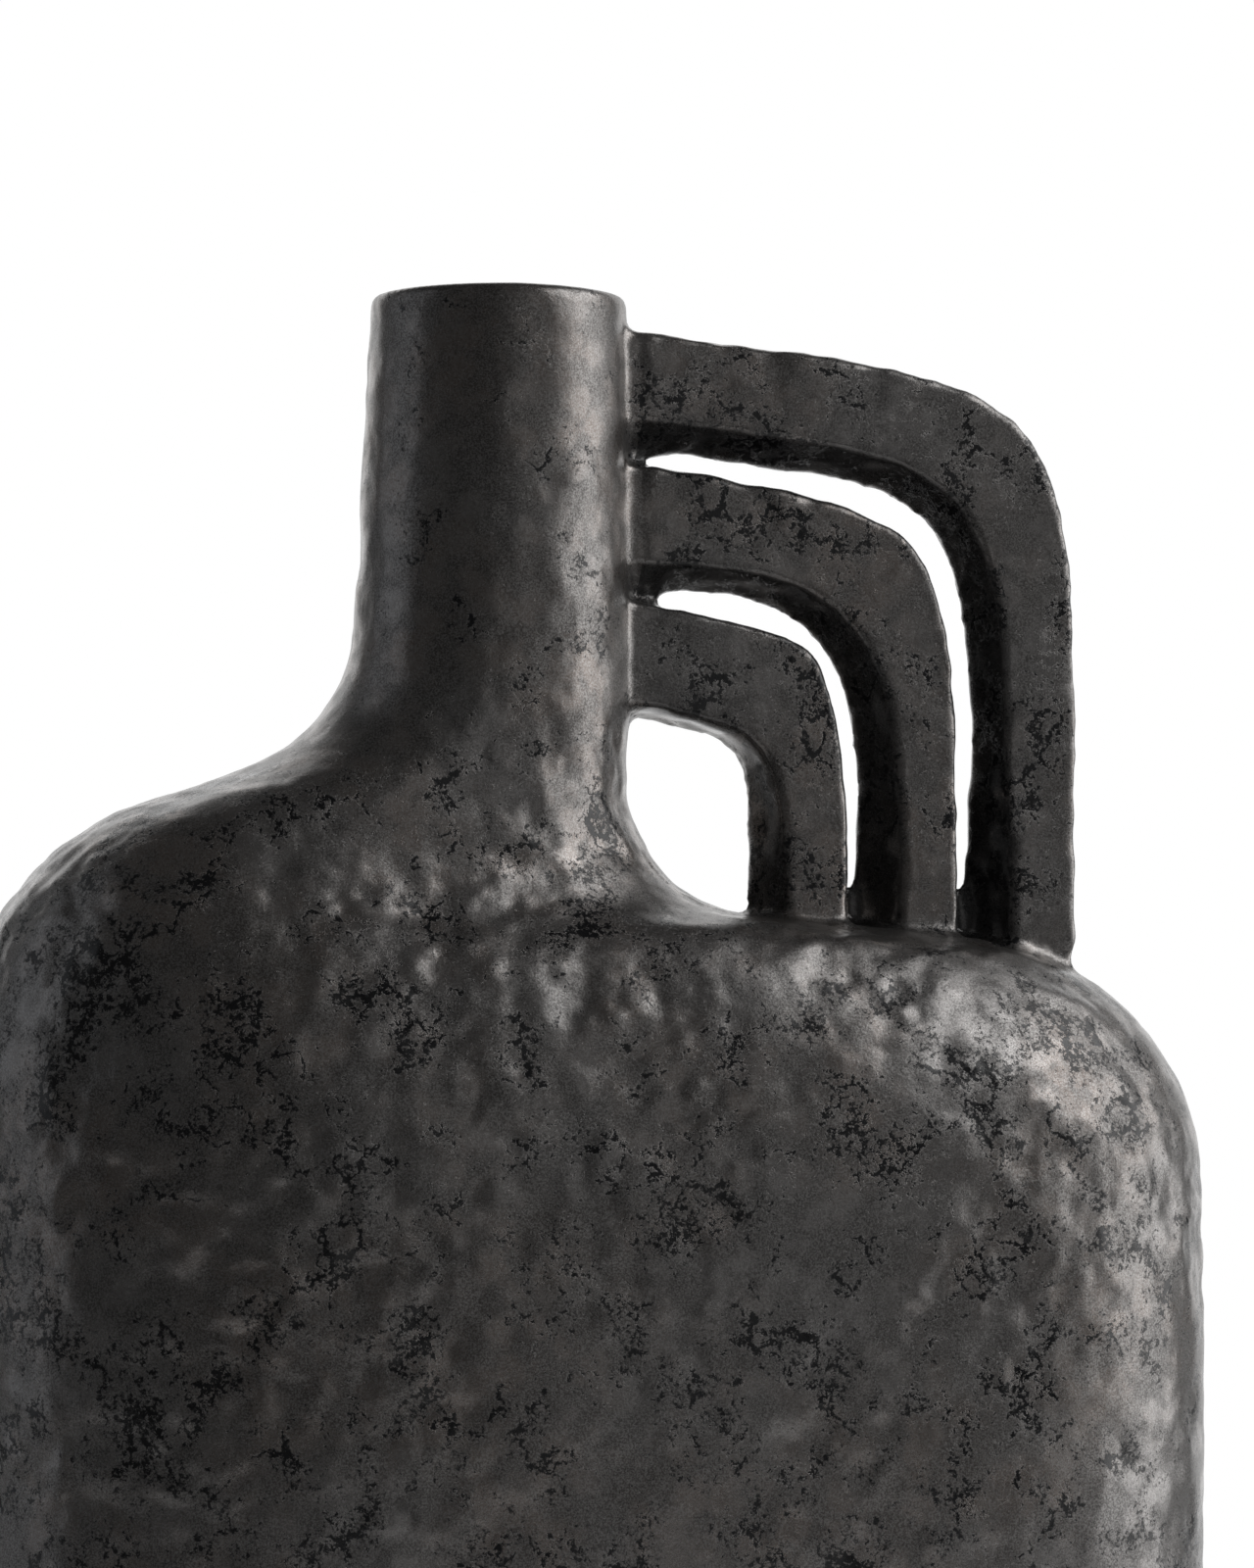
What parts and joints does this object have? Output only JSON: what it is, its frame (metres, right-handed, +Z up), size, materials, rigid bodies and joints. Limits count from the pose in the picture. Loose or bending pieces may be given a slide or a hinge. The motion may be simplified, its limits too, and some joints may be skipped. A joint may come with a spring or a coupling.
{
  "type": "handled ceramic vase",
  "caption": "Flattened bottle vase in dark metallic glaze, with a round off-centre neck and nested strap handles down to one shoulder.",
  "frame": {"origin": "middle of the base, on the surface the vase stands on", "axes": "+Z up, +X from the neck towards the handles, -Y to the front; front and back are alike"},
  "size_m": [0.302, 0.128, 0.432],
  "materials": {
    "glaze": "satin metallic graphite glaze with black mottling",
    "bare_clay": "unglazed, fine matt clay"
  },
  "bodies": {
    "root": {"foot_ring": "bare_clay", "base": "glaze", "body_wall": "glaze", "shoulder": "glaze", "neck": "glaze", "handle_outer": "glaze", "handle_middle": "glaze", "handle_inner": "glaze"}
  },
  "joints": []
}
